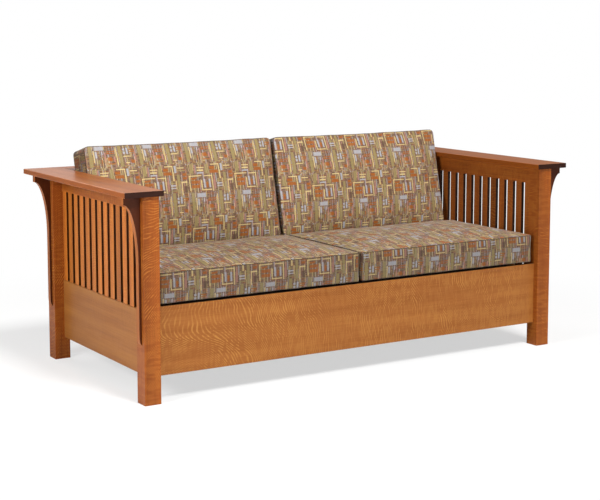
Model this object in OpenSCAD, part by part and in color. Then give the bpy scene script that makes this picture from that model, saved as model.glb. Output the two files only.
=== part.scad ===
// Slatted oak sofa with a bed that folds out of its seat.
// Millimetres. +X to the right of someone facing the sofa, front towards -Y, +Z up,
// origin on the floor under the middle of the sofa. Left and right are the viewer's.

/* [Overall] */
// Width over the two arm boards
overall_w = 2004; // [1960:2:2160]
// Depth over the arm boards
overall_d = 955; // [945:1:990]
// Height of the arm boards' top faces
arm_h = 760; // [735:1:820]
// Height of the seat: underside of the seat cushions
seat_z = 352; // [348:1:364]

/* [Posts] */
// Side of the square posts
post_w = 63.5; // [56:0.5:70]
// How far an arm board reaches past the outer faces of its posts
side_overhang = 72; // [66:1:80]
// How far an arm board reaches past the front posts
front_overhang = 8; // [4:1:16]
// How far an arm board reaches past the back posts
rear_overhang = 57; // [50:1:64]

/* [Boards] */
// Width of an arm board
board_w = 150; // [145:1:156]
// Thickness of the arm boards and the back cap
board_t = 19.5; // [16:0.5:25]
// Width of the back cap board
cap_w = 150; // [145:1:152]
// Width of the eased edges on posts, boards and rails
edge_ease = 1.6; // [0.8:0.1:3]

/* [Slatted frames] */
// From the outer faces of the posts to the side rails and panels
panel_inset = 40; // [34:1:42]
// From the back faces of the posts to the back rail and panel
back_inset = 32; // [26:1:36]
// Thickness of the rails and lower panels
panel_t = 20; // [18:0.5:22]
// Height of the lower panels' undersides
panel_z = 86; // [76:1:100]
// Height of a lower panel
panel_h = 234; // [226:1:240]
// Height of an upper rail
rail_h = 64.5; // [50:0.5:80]
// Width of a slat
slat_w = 35.5; // [30:0.5:42]
// Thickness of a slat
slat_t = 13.2; // [10:0.1:16]
// Gap that the slats are spaced for
slat_gap = 20.5; // [16:0.5:30]

/* [Corbels] */
// Thickness of a corbel
corbel_t = 22; // [18:1:30]
// Reach of a corbel under the arm board
corbel_reach = 64; // [50:1:66]
// Height of the upright end under the arm board
corbel_nose = 25.5; // [16:0.5:34]
// Height of the hollow curve
corbel_curve_h = 215; // [150:5:260]
// Thickness where the curve meets the straight tail
corbel_tail = 9; // [7:0.5:14]
// Height of the rounded foot of the tail
corbel_foot_h = 33; // [16:1:44]
// Height of the foot of the tail above the floor
corbel_z = 215; // [180:5:260]

/* [Front panel] */
// From the front face of the posts to the panel
front_inset = 25; // [18:1:27]
// Thickness of the front panel
front_t = 22; // [18:1:24]
// Height of the panel's underside
front_z = 95; // [80:1:110]
// Height of the panel's top edge
front_top = 344; // [336:1:346]

/* [Back ledge] */
// Height of the ledge that carries the back cushions
ledge_z = 445; // [445:1:460]
// Thickness of the ledge
ledge_t = 12; // [10:0.5:12]
// Depth of the ledge
ledge_d = 215; // [190:5:220]
// Height of the rail under the back of the ledge
ledge_rail_h = 48; // [30:1:60]
// Thickness of the rail under the back of the ledge
ledge_rail_t = 22; // [16:1:24]
// Height of the cleats under the ends of the ledge
cleat_h = 28; // [20:1:36]
// Side of the three-cornered glue blocks
glue_block = 18; // [12:1:18]

/* [Bed] */
// From the side panels to the bed frames
mech_room = 34; // [34:1:40]
// Thickness of a mattress panel
mattress_t = 60; // [54:0.5:60]
// Side of the square tubes of the bed frames
tube = 20; // [16:0.5:20]
// From the edge of the mattress to the outside of the bed frames
frame_side = 74; // [66:1:74]
// Thickness of a sprung deck sheet
deck_t = 2; // [1:0.1:2.4]
// From the inside of the front panel to the fold of the head and middle panels
fold_back = 59; // [59:1:64]
// How far the middle frame stops short of that fold
middle_set_back = 60; // [58:1:70]
// From the inside of the front panel to the foot frame
foot_gap = 7; // [6:0.5:12]
// From the inside of the back panel to the head frame
head_room = 42; // [40:1:70]
// From the head frame's rear end to the hinges of the middle and foot panels
hinge_set_back = 206; // [204:1:230]

/* [Lift links] */
// Length of a link between its pins
link_len = 400; // [398:0.5:404]
// Slope of the links when the bed is folded, in degrees
link_down = 16; // [16:0.1:16.4]
// Slope of the links when the bed is open, in degrees
link_up = 19; // [19:0.1:19.3]
// Height of a link bar
link_w = 28; // [22:1:32]
// Thickness of a link bar
link_t = 6; // [4:0.5:7]
// Radius of the link pins
pin_r = 6; // [5:0.5:8]
// From the lower pins up to the upper pins
pin_rise = 55; // [48:1:58]
// From the lower pins back to the upper pins
pin_back = 30; // [20:1:32]
// Radius of the tube that joins the two lower links
torsion_r = 11; // [9:0.5:12]

/* [Legs] */
// Radius of a leg tube
leg_r = 7.5; // [6:0.5:7.5]
// From the bed frame's side tube to a front leg
front_leg_in = 26; // [20:1:34]
// From the bed frame's side tube to a middle leg
middle_leg_in = 66; // [56:1:90]

/* [Cushions] */
// Height of a seat cushion's sewn border
seat_border_h = 112; // [90:1:125]
// From a seat cushion to the front of the back cushions' sewn border
seat_back_gap = 31.5; // [30:0.5:60]
// Thickness of a back cushion's sewn border
back_border = 110; // [98:1:112]
// Height of a back cushion at its front
back_h = 416; // [380:1:440]
// Slope of the back cushions, in degrees
back_lean = 12.6; // [10:0.1:14]
// Swell of a seat cushion's top
seat_crown = 27; // [15:1:32]
// Swell of a back cushion's front
back_crown = 34; // [20:1:36]

/* [Hidden] */

// Colours of the oak, the steel, the ticking and the cloth
oak = "#A8682F";
oak_dark = "#8A4A22";
plywood = "#C9A36B";
steel = "#5A5C60";
ticking = "#D9D4C6";
deck_cloth = "#2E2E30";
rubber = "#222222";
cloth = "#8A7460";

// Clearances: between pieces that rest on each other, and where the bed swings free
seat_gap = 0.3;
fold_gap = 0.6;
frame_gap = 1.0;
pin_gap = 0.05;
open_pin_gap = 0.4;
floor_gap = 0.5;
cut = 1;
round_fn = 48;

// Posts
post_x = overall_w / 2 - side_overhang;
post_front_y = -overall_d / 2 + front_overhang;
post_back_y = overall_d / 2 - rear_overhang;
post_h = arm_h - board_t;
post_in_x = post_x - post_w;

// Slatted side frames and back frame
side_span = post_back_y - post_front_y - 2 * post_w;
side_out_x = post_x - panel_inset;
side_in_x = side_out_x - panel_t;
back_out_y = post_back_y - back_inset;
back_in_y = back_out_y - panel_t;
panel_top = panel_z + panel_h;
rail_z = post_h - rail_h;
slat_in = (panel_t - slat_t) / 2;
board_in_x = overall_w / 2 - board_w;
cap_y = overall_d / 2 - cap_w;

// Folded bed, from the floor side up: head, middle upside down, foot
front_in_y = post_front_y + front_inset + front_t;
panel_stack = tube + seat_gap + mattress_t;
pack_z = seat_z - seat_gap - 3 * panel_stack - fold_gap - frame_gap;
fold_z = pack_z + panel_stack + fold_gap / 2;
fold_y = front_in_y + fold_back;
foot_frame_z = pack_z + 2 * panel_stack + fold_gap + frame_gap;
hinge_z = foot_frame_z - frame_gap / 2;
foot_y = front_in_y + foot_gap;
head_y = back_in_y - head_room;
hinge_y = head_y - hinge_set_back;
frame_x = side_in_x - mech_room;
half_bed = frame_x - frame_side;
frame_in_x = frame_x - tube;

// Hinges between the panels
eye_r = 7;
eye_pin_r = 3.5;
ear_t = 5;
ear_gap = 0.5;
eye_clear = 1;
end_gap = eye_r + eye_clear;
ear_len = 45;

// Lift links beside the folded bed
bracket_t = 5;
bolt_head_h = 4;
bolt_r = 7;
bolt_hex = 6;
rail_t = 5;
rail_margin = 22;
rail_len = 330;
rail_in_x = side_in_x - rail_t;
link_clear = 2;
link_x = rail_in_x - bolt_head_h - link_clear - link_t;
torsion_clear = 7;
torsion_y = fold_y - torsion_r - torsion_clear;
head_pin_z = pack_z + tube / 2;
base_pin_z = head_pin_z + link_len * sin(link_down);
head_pin_y = torsion_y + link_len * cos(link_down);
pin_head_r = 9;
pin_head_t = 3;

// Open bed: the head panel's rise, then where the foot frame's pins end up
lift = link_len * (sin(link_up) + sin(link_down));
leg_clear = 4;
leg_pin_in = tube + leg_r + leg_clear;
leg_pin_z = foot_frame_z + (tube - deck_t) / 2;
leg_pin_open_z = leg_pin_z + lift + 2 * (fold_z - hinge_z);
leg_len = leg_pin_open_z - floor_gap;
foot_pad_wall = 1.2;
foot_pad_r = leg_r + foot_pad_wall;
foot_pad_h = 22;
foot_pad_floor = 6;
stub_r = 5;
stub_len = 12;

// Pull bar on the foot frame
pull_w = 420;
pull_r = 3;
pull_drop = 34;

// Cushions
cushion_middle_gap = 3;
cushion_side_gap = 1;
cushion_front = -3;
cushion_x = board_in_x - cushion_side_gap;
seat_corner_r = 26;
seat_pull = 4;
border_swell = 3;
side_steps = 9;
corner_steps = 3;
// Rings of a cushion from its flat face to its swollen face: each has its size share,
// its share of the border's height and its share of the crown
low_shares = [[0.5, 0, 0], [0.93, 0, 0], [0.985, 0.02, 0], [1, 0.07, 0]];
border_shares = [[0.3, 0.75], [0.55, 1], [0.8, 0.7]];
high_shares = [[1, 0.94, 0], [0.985, 1, 0.03], [0.93, 1, 0.22], [0.8, 1, 0.5],
    [0.6, 1, 0.78], [0.35, 1, 0.94]];
back_corner_r = 21;
back_pull = 3;
back_top_drop = 28;

// Where the back cushions stand, then the depth that they leave for the seat cushions
lean_slope = tan(back_lean);
rear_slope = lean_slope / (1 - back_top_drop / back_h);
back_low_z = ledge_z + seat_gap + border_swell;
back_foot_y = cap_y - seat_gap - (arm_h - back_low_z) * rear_slope;
seat_cushion_y = post_front_y + front_inset + cushion_front;
seat_d = back_foot_y - back_border / cos(back_lean) - seat_back_gap - seat_cushion_y;

// Rectangle with its four corners cut off
function eased(w, h, e) = [[e, 0], [w - e, 0], [w, e], [w, h - e], [w - e, h], [e, h], [0, h - e], [0, e]];

// Bars with eased edges, along X, Y and Z, with one corner at the origin
module bar_x(l, d, h) rotate([90, 0, 90]) linear_extrude(l) polygon(eased(d, h, edge_ease));
module bar_y(w, l, h) translate([0, l, 0]) rotate([90, 0, 0]) linear_extrude(l) polygon(eased(w, h, edge_ease));
module bar_z(w, d, h) linear_extrude(h) polygon(eased(w, d, edge_ease));

// Draws its children on the right, or mirrored on the left
module on_side(side) {
    if (side > 0) children();
    else mirror([1, 0, 0]) children();
}
module both_sides() {
    on_side(1) children();
    on_side(-1) children();
}
// A flat shape drawn in Y and Z, with its thickness along +X
module plate_x(x, t) translate([x, 0, 0]) rotate([90, 0, 90]) linear_extrude(t) children();
// A round bar along +X
module rod_x(x, y, z, r, l) translate([x, y, z]) rotate([0, 90, 0]) cylinder(h = l, r = r, $fn = round_fn);

// Posts
module post(side, y) {
    color(oak) on_side(side) translate([post_in_x, y, 0]) bar_z(post_w, post_w, post_h);
}
module post_front_left() post(-1, post_front_y);
module post_front_right() post(1, post_front_y);
module post_back_left() post(-1, post_back_y - post_w);
module post_back_right() post(1, post_back_y - post_w);

// Corbels: an upright end, a hollow quarter of an ellipse, and a straight tail with a rounded foot
corbel_steps = 14;
corbel_foot_steps = 6;
corbel_profile = concat(
    [[0, corbel_z], [0, post_h], [corbel_reach, post_h], [corbel_reach, post_h - corbel_nose]],
    [for (i = [1:corbel_steps]) let (a = 90 * i / corbel_steps)
        [corbel_reach - (corbel_reach - corbel_tail) * sin(a),
         post_h - corbel_nose - corbel_curve_h * (1 - cos(a))]],
    [for (i = [0:corbel_foot_steps - 1]) let (a = 90 * i / corbel_foot_steps)
        [corbel_tail * cos(a), corbel_z + corbel_foot_h * (1 - sin(a))]]
);
module corbel(side, y) {
    color(oak_dark) on_side(side) translate([post_x, y + (post_w + corbel_t) / 2, 0])
        rotate([90, 0, 0]) linear_extrude(corbel_t) polygon(corbel_profile);
}
module corbel_front_left() corbel(-1, post_front_y);
module corbel_front_right() corbel(1, post_front_y);
module corbel_back_left() corbel(-1, post_back_y - post_w);
module corbel_back_right() corbel(1, post_back_y - post_w);

// Arm boards and the cap that joins them along the back
module arm_board(side) {
    color(oak_dark) on_side(side) translate([board_in_x, -overall_d / 2, post_h]) bar_y(board_w, overall_d, board_t);
}
module arm_board_left() arm_board(-1);
module arm_board_right() arm_board(1);
module back_cap() {
    color(oak_dark) translate([-board_in_x, cap_y, post_h]) bar_x(2 * board_in_x, cap_w, board_t);
}

// Side frames: upper rail, lower panel and the slats between them
module arm_rail(side) {
    color(oak) on_side(side) translate([side_in_x, post_front_y + post_w, rail_z]) bar_y(panel_t, side_span, rail_h);
}
module arm_rail_left() arm_rail(-1);
module arm_rail_right() arm_rail(1);
module side_panel(side) {
    color(oak) on_side(side) translate([side_in_x, post_front_y + post_w, panel_z]) bar_y(panel_t, side_span, panel_h);
}
module side_panel_left() side_panel(-1);
module side_panel_right() side_panel(1);

// Places of a row of slats whose end slats lie against the posts
function slat_count(span) = max(2, round((span + slat_gap) / (slat_w + slat_gap)));
function slat_starts(span) = [for (i = [0:slat_count(span) - 1]) i * (span - slat_w) / (slat_count(span) - 1)];
module arm_slats(side) {
    color(oak) on_side(side) for (y = slat_starts(side_span))
        translate([side_in_x + slat_in, post_front_y + post_w + y, panel_top]) cube([slat_t, slat_w, rail_z - panel_top]);
}
module arm_slats_left() arm_slats(-1);
module arm_slats_right() arm_slats(1);

// Front panel between the front posts
module front_panel() {
    color(oak) translate([-post_in_x, post_front_y + front_inset, front_z])
        bar_x(2 * post_in_x, front_t, front_top - front_z);
}

// Back frame between the back posts
module back_panel() {
    color(oak) translate([-post_in_x, back_in_y, panel_z]) bar_x(2 * post_in_x, panel_t, panel_h);
}
module back_rail() {
    color(oak) translate([-post_in_x, back_in_y, rail_z]) bar_x(2 * post_in_x, panel_t, rail_h);
}
module back_slats() {
    color(oak) for (x = slat_starts(2 * post_in_x))
        translate([x - post_in_x, back_in_y + slat_in, panel_top]) cube([slat_w, slat_t, rail_z - panel_top]);
}

// Ledge for the back cushions, on a rail along the back slats and a cleat on each row of arm slats
ledge_back_y = back_in_y + slat_in;
ledge_front_y = ledge_back_y - ledge_d;
cleat_in_x = frame_x + 2 * bracket_t;
module back_ledge() {
    color(plywood) translate([-post_in_x + seat_gap, ledge_front_y, ledge_z - ledge_t])
        cube([2 * (post_in_x - seat_gap), ledge_d, ledge_t]);
}
module ledge_rail() {
    color(plywood) translate([-post_in_x, ledge_back_y - ledge_rail_t, ledge_z - ledge_t - ledge_rail_h])
        cube([2 * post_in_x, ledge_rail_t, ledge_rail_h]);
}
module ledge_cleats() {
    color(plywood) both_sides() translate([cleat_in_x, ledge_front_y, ledge_z - ledge_t - cleat_h])
        cube([side_in_x + slat_in - cleat_in_x, ledge_d - ledge_rail_t, cleat_h]);
}

// Three-cornered blocks glued where the front and back panels meet the posts
module glue_block_at(y, way, z, h) {
    translate([post_in_x, y, z]) linear_extrude(h) polygon([[0, 0], [-glue_block, 0], [0, way * glue_block]]);
}
module glue_blocks() {
    color(plywood) both_sides() {
        glue_block_at(front_in_y, 1, front_z, front_top - front_z - glue_block);
        glue_block_at(back_in_y, -1, panel_z, panel_h);
    }
}

// Steel rails screwed inside the side panels, with the fixed pins of the lift links
rail_low_z = base_pin_z - rail_margin;
module lift_rail(side) {
    color(steel) on_side(side) {
        plate_x(rail_in_x, rail_t) {
            translate([torsion_y - rail_margin, rail_low_z]) square([rail_len, 2 * rail_margin]);
            translate([torsion_y - rail_margin, rail_low_z]) square([pin_back + 2 * rail_margin, pin_rise + 2 * rail_margin]);
        }
        rod_x(link_x + seat_gap, torsion_y, base_pin_z, pin_r, rail_in_x - link_x - seat_gap);
        rod_x(link_x - seat_gap, torsion_y + pin_back, base_pin_z + pin_rise, pin_r, rail_in_x - link_x + seat_gap);
        rod_x(link_x - seat_gap - pin_head_t, torsion_y + pin_back, base_pin_z + pin_rise, pin_head_r, pin_head_t);
        for (y = [torsion_y, torsion_y + pin_back]) let (z = base_pin_z + (y == torsion_y ? 0 : pin_rise))
            rod_x(link_x + link_t + seat_gap, y, z, pin_head_r, rail_in_x - link_x - link_t - seat_gap);
    }
}
module lift_rail_left() lift_rail(-1);
module lift_rail_right() lift_rail(1);
rail_bolt_ys = [torsion_y + pin_back + 2 * rail_margin, torsion_y + rail_len / 2, torsion_y + rail_len - 2 * rail_margin];
module rail_bolts() {
    color(steel) both_sides() for (y = rail_bolt_ys)
        translate([rail_in_x - bolt_head_h, y, base_pin_z]) rotate([0, 90, 0]) cylinder(h = bolt_head_h, r = bolt_r, $fn = bolt_hex);
}

// A link bar with a bored eye at each end, sloping down to the back
module link_shape(hole_a, hole_b) {
    difference() {
        union() {
            circle(link_w / 2, $fn = round_fn);
            translate([link_len, 0]) circle(link_w / 2, $fn = round_fn);
            translate([0, -link_w / 2]) square([link_len, link_w]);
        }
        circle(hole_a, $fn = round_fn);
        translate([link_len, 0]) circle(hole_b, $fn = round_fn);
    }
}
module link_bar(side, y, z, hole_b) {
    color(steel) on_side(side)
        plate_x(link_x, link_t) translate([y, z]) rotate(-link_down) link_shape(pin_r + pin_gap, hole_b);
}
module lower_link_left() link_bar(-1, torsion_y, base_pin_z, pin_r + pin_gap);
module lower_link_right() link_bar(1, torsion_y, base_pin_z, pin_r + pin_gap);
module upper_link_left() link_bar(-1, torsion_y + pin_back, base_pin_z + pin_rise, pin_r + open_pin_gap);
module upper_link_right() link_bar(1, torsion_y + pin_back, base_pin_z + pin_rise, pin_r + open_pin_gap);
module torsion_tube() {
    color(steel) rod_x(-link_x, torsion_y, base_pin_z, torsion_r, 2 * link_x);
}

// A bed frame: two side tubes and cross tubes between them
module bed_frame(y0, y1, z, cross_ys) {
    both_sides() translate([frame_in_x, y0, z]) cube([tube, y1 - y0, tube]);
    for (y = cross_ys) translate([-frame_in_x, y, z]) cube([2 * frame_in_x, tube, tube]);
}
// A sprung sheet flush with one face of its frame, between two cross tubes
module deck(y0, y1, z) {
    translate([seat_gap - frame_in_x, y0 + seat_gap, z])
        cube([2 * (frame_in_x - seat_gap), y1 - y0 - 2 * seat_gap, deck_t]);
}
mattress_r = 30;
mattress_fn = 24;
module mattress(y0, y1, z) {
    color(ticking) translate([0, 0, z]) linear_extrude(mattress_t) hull() {
        for (x = [-1, 1], y = [y0 + mattress_r, y1 - mattress_r])
            translate([x * (half_bed - mattress_r), y]) circle(mattress_r, $fn = mattress_fn);
    }
}

// Head panel: frame, deck and mattress, with the upright hinge ears at the fold
head_mid_y = (fold_y + head_y - tube) / 2;
module hinge_ear_holes(y, z, r) translate([y, z]) circle(r, $fn = round_fn);
head_ear_x = frame_x - ear_t - ear_gap;
module head_frame() {
    color(steel) {
        bed_frame(fold_y, head_y, pack_z, [fold_y, head_mid_y, head_y - tube]);
        both_sides() {
            plate_x(head_ear_x, ear_t) {
                translate([fold_y, fold_z]) circle(eye_r, $fn = round_fn);
                translate([fold_y, pack_z + tube]) square([eye_r, fold_z - pack_z - tube]);
            }
            rod_x(head_ear_x, fold_y, fold_z, eye_pin_r, 2 * ear_t + ear_gap);
        }
    }
}
module head_deck() {
    color(deck_cloth) {
        deck(fold_y + tube, head_mid_y, pack_z + tube - deck_t);
        deck(head_mid_y + tube, head_y - tube, pack_z + tube - deck_t);
    }
}
module head_mattress() mattress(fold_y + seat_gap, head_y, pack_z + tube + seat_gap);

// Brackets on the head frame with the moving pins of the lift links
module lift_bracket() {
    plate_x(frame_x, bracket_t) {
        translate([head_pin_y - rail_margin, pack_z]) square([pin_back + 2 * rail_margin, tube]);
        translate([head_pin_y + pin_back, head_pin_z + pin_rise]) circle(link_w / 2, $fn = round_fn);
        translate([head_pin_y + pin_back - link_w / 2, pack_z + tube]) square([link_w, head_pin_z + pin_rise - pack_z - tube]);
    }
    for (p = [0, 1]) let (y = head_pin_y + p * pin_back, z = head_pin_z + p * pin_rise) {
        rod_x(frame_x + bracket_t, y, z, pin_head_r, link_x - frame_x - bracket_t - seat_gap);
        rod_x(frame_x + bracket_t, y, z, pin_r, link_x + link_t - frame_x - bracket_t + seat_gap);
    }
}
module lift_brackets() {
    color(steel) both_sides() lift_bracket();
}

// Middle panel: it lies upside down while the bed is folded
middle_frame_z = hinge_z - frame_gap / 2 - tube;
middle_y = fold_y + middle_set_back;
middle_end_y = hinge_y - end_gap;
module middle_frame() {
    color(steel) {
        bed_frame(middle_y, middle_end_y, middle_frame_z, [middle_y, middle_end_y - tube]);
        both_sides() plate_x(frame_in_x - ear_t, ear_t) difference() {
            union() {
                translate([hinge_y, hinge_z]) circle(eye_r, $fn = round_fn);
                translate([hinge_y - end_gap - eye_pin_r, hinge_z - eye_r]) square([end_gap + eye_pin_r, eye_r]);
            }
            hinge_ear_holes(hinge_y, hinge_z, eye_pin_r + pin_gap);
        }
    }
}
module middle_deck() {
    color(deck_cloth) deck(middle_y + tube, middle_end_y - tube, middle_frame_z);
}
module middle_mattress() mattress(fold_y + seat_gap, hinge_y - seat_gap, fold_z + fold_gap / 2);

// Arms that carry the middle frame from the fold
arm_w = 2 * eye_r;
module middle_hinge_arms() {
    color(steel) both_sides() plate_x(frame_x, ear_t) difference() {
        union() {
            translate([fold_y, fold_z]) circle(eye_r, $fn = round_fn);
            polygon([[fold_y - eye_r, fold_z], [fold_y + eye_r, fold_z],
                [middle_y + arm_w, middle_frame_z], [middle_y, middle_frame_z]]);
            translate([middle_y, middle_frame_z]) square([ear_len, tube]);
        }
        hinge_ear_holes(fold_y, fold_z, eye_pin_r + pin_gap);
    }
}

// Foot panel: it lies on top of the folded bed and carries the seat cushions
foot_end_y = hinge_y - end_gap;
leg_pin_front_y = foot_y + leg_pin_in;
leg_pin_rear_y = foot_end_y - leg_pin_in;
foot_ear_x = frame_in_x - 2 * ear_t - ear_gap;
module foot_frame() {
    color(steel) {
        difference() {
            bed_frame(foot_y, foot_end_y, foot_frame_z, [foot_y, foot_end_y - tube]);
            both_sides() for (y = [leg_pin_front_y, leg_pin_rear_y])
                rod_x(frame_in_x - cut, y, leg_pin_z, stub_r + pin_gap, tube + 2 * cut);
        }
        both_sides() {
            plate_x(foot_ear_x, ear_t) {
                translate([hinge_y, hinge_z]) circle(eye_r, $fn = round_fn);
                translate([hinge_y - end_gap - eye_pin_r, hinge_z]) square([end_gap + eye_pin_r, eye_r]);
            }
            rod_x(foot_ear_x, hinge_y, hinge_z, eye_pin_r, 2 * ear_t + ear_gap);
        }
    }
}
module foot_deck() {
    color(deck_cloth) deck(foot_y + tube, foot_end_y - tube, foot_frame_z + tube - deck_t);
}
module foot_mattress() mattress(foot_y, hinge_y - seat_gap, foot_frame_z + tube + seat_gap);

// Bar that the hand pulls to open the bed, bent from rod and welded under the foot frame's front tube
module pull_bar() {
    color(steel) translate([0, foot_y + tube / 2, foot_frame_z - pull_drop]) {
        translate([-pull_w / 2, 0, 0]) rotate([0, 90, 0]) cylinder(h = pull_w, r = pull_r, $fn = round_fn);
        for (x = [-1, 1]) translate([x * pull_w / 2, 0, 0]) {
            sphere(pull_r, $fn = round_fn);
            cylinder(h = pull_drop, r = pull_r, $fn = round_fn);
        }
    }
}

// A pair of legs on one axle, folded along the foot frame: way is 1 towards the back
module leg_pair(axle_y, way, x) {
    rod_x(-frame_in_x + seat_gap, axle_y, leg_pin_z, leg_r, 2 * (frame_in_x - seat_gap));
    both_sides() {
        rod_x(frame_in_x - stub_len, axle_y, leg_pin_z, stub_r, 2 * stub_len);
        translate([x, axle_y, leg_pin_z]) rotate([-90 * way, 0, 0])
            cylinder(h = leg_len - foot_pad_floor, r = leg_r, $fn = round_fn);
    }
}
// Rubber feet pushed over the leg ends
module leg_feet(axle_y, way, x) {
    both_sides() translate([x, axle_y, leg_pin_z]) rotate([-90 * way, 0, 0]) translate([0, 0, leg_len - foot_pad_h]) difference() {
        cylinder(h = foot_pad_h, r = foot_pad_r, $fn = round_fn);
        translate([0, 0, -cut]) cylinder(h = foot_pad_h - foot_pad_floor + cut, r = leg_r, $fn = round_fn);
    }
}
front_leg_x = frame_in_x - front_leg_in;
middle_leg_x = frame_in_x - middle_leg_in;
module front_legs() color(steel) leg_pair(leg_pin_front_y, 1, front_leg_x);
module front_leg_feet() color(rubber) leg_feet(leg_pin_front_y, 1, front_leg_x);
module middle_legs() color(steel) leg_pair(leg_pin_rear_y, -1, middle_leg_x);
module middle_leg_feet() color(rubber) leg_feet(leg_pin_rear_y, -1, middle_leg_x);

// Rounded outline whose sides are drawn in between the corners, from the front left corner round
function turned(p, a) = [p.x * cos(a) - p.y * sin(a), p.x * sin(a) + p.y * cos(a)];
function side_run(along, out, r, pull, a) = [for (j = [0:side_steps - 1]) let (s = 2 * j / side_steps - 1)
    turned([s * (along - r), pull * (1 - s * s) - out], a)];
function corner_run(along, out, r, a) = [for (k = [0:corner_steps - 1]) let (b = 90 * k / corner_steps)
    turned([along - r + r * sin(b), r - out - r * cos(b)], a)];
function outline(hw, hd, r, pull) = [for (q = [0:3])
    let (along = q % 2 == 0 ? hw : hd, out = q % 2 == 0 ? hd : hw)
    each concat(side_run(along, out, r, pull, 90 * q), corner_run(along, out, r, 90 * q))];

// Rings of a cushion with a flat face at z = 0 and a swollen one above its sewn border
function raised(ring, z) = [for (p = ring) [p.x, p.y, z]];
function sized_ring(w, d, r, pull, share, grow, z) =
    raised(outline(w / 2 * share + grow, d / 2 * share + grow, r * share, pull * share), z);
function cushion_rings(w, d, h, crown, r, pull) = concat(
    [for (s = low_shares) sized_ring(w, d, r, pull, s[0], 0, s[1] * h)],
    [for (s = border_shares) sized_ring(w, d, r, pull, 1, s[1] * border_swell, s[0] * h)],
    [for (s = high_shares) sized_ring(w, d, r, pull, s[0], 0, s[1] * h + s[2] * crown)]
);
// Faces that join the rings, with a point in the middle of each end
function ring_faces(n, m) = concat(
    [for (j = [0:n - 1]) [0, 1 + j, 1 + (j + 1) % n]],
    [for (i = [0:m - 2], j = [0:n - 1]) each let (a = 1 + i * n + j, b = 1 + i * n + (j + 1) % n)
        [[a, a + n, b + n], [a, b + n, b]]],
    [for (j = [0:n - 1]) [1 + m * n, 1 + (m - 1) * n + (j + 1) % n, 1 + (m - 1) * n + j]]
);
module soft_form(rings, low, high) {
    polyhedron(points = concat([low], [for (ring = rings) each ring], [high]),
        faces = ring_faces(len(rings[0]), len(rings)));
}

// Seat cushions, on the foot panel
cushion_w = cushion_x - cushion_middle_gap / 2 - 2 * border_swell;
cushion_mid_x = (cushion_x + cushion_middle_gap / 2) / 2;
seat_rings = cushion_rings(cushion_w, seat_d - 2 * border_swell, seat_border_h, seat_crown, seat_corner_r, seat_pull);
module seat_cushion(side) {
    color(cloth) on_side(side) translate([cushion_mid_x, seat_cushion_y + seat_d / 2, seat_z])
        soft_form(seat_rings, [0, 0, 0], [0, 0, seat_border_h + seat_crown]);
}
module seat_cushion_left() seat_cushion(-1);
module seat_cushion_right() seat_cushion(1);

// Back cushions, on the ledge and against the cap: their fronts face -Y and lean back
// Stands a cushion up, slopes it, and drops its top towards the back
function leaned(p) = let (v = p.y + back_h / 2, w = p.z)
    [p.x, back_foot_y - w / cos(back_lean) + v * lean_slope,
     back_low_z + v * (1 - back_top_drop / back_h * (1 - w / back_border))];
back_rings = [for (ring = cushion_rings(cushion_w, back_h - 2 * border_swell, back_border, back_crown, back_corner_r, back_pull))
    [for (p = ring) leaned(p)]];
module back_cushion(side) {
    color(cloth) on_side(side) translate([cushion_mid_x, 0, 0])
        soft_form(back_rings, leaned([0, 0, 0]), leaned([0, 0, back_border + back_crown]));
}
module back_cushion_left() back_cushion(-1);
module back_cushion_right() back_cushion(1);

post_front_left();
post_front_right();
post_back_left();
post_back_right();
corbel_front_left();
corbel_front_right();
corbel_back_left();
corbel_back_right();
arm_board_left();
arm_board_right();
arm_rail_left();
arm_rail_right();
arm_slats_left();
arm_slats_right();
side_panel_left();
side_panel_right();
front_panel();
back_panel();
back_rail();
back_slats();
back_cap();
back_ledge();
ledge_rail();
ledge_cleats();
glue_blocks();
lift_rail_left();
lift_rail_right();
rail_bolts();
lower_link_left();
lower_link_right();
torsion_tube();
upper_link_left();
upper_link_right();
head_frame();
head_deck();
head_mattress();
lift_brackets();
middle_frame();
middle_deck();
middle_mattress();
middle_hinge_arms();
foot_frame();
foot_deck();
foot_mattress();
pull_bar();
front_legs();
front_leg_feet();
middle_legs();
middle_leg_feet();
seat_cushion_left();
seat_cushion_right();
back_cushion_left();
back_cushion_right();
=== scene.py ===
import math
import bpy
import numpy as np
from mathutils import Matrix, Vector, noise


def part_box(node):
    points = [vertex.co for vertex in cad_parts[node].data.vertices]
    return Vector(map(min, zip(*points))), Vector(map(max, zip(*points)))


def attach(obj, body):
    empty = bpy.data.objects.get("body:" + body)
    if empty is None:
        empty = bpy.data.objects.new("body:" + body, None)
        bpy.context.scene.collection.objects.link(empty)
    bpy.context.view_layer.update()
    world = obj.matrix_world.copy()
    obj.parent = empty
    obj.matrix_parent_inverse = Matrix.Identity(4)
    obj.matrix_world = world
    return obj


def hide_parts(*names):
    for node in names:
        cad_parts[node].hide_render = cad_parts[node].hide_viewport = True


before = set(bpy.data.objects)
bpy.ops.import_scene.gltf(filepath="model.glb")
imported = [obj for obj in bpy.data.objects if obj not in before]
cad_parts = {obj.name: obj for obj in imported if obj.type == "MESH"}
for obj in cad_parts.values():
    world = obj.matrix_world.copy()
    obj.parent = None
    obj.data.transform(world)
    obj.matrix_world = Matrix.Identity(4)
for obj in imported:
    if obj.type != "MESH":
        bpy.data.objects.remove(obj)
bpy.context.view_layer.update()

# The room: a white floor that melts into a white background, a high window light in front, a low
# front light, small fills at the left and behind, and a camera set as in the photo.
scene = bpy.context.scene
scene.view_settings.view_transform = "Standard"


def linear(colour):
    """A hex colour as it is seen on a screen, as the linear values that light is worked out in."""
    shares = [int(colour[i:i + 2], 16) / 255 for i in (1, 3, 5)]
    return [s / 12.92 if s <= 0.04045 else ((s + 0.055) / 1.055) ** 2.4 for s in shares] + [1.0]


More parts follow.
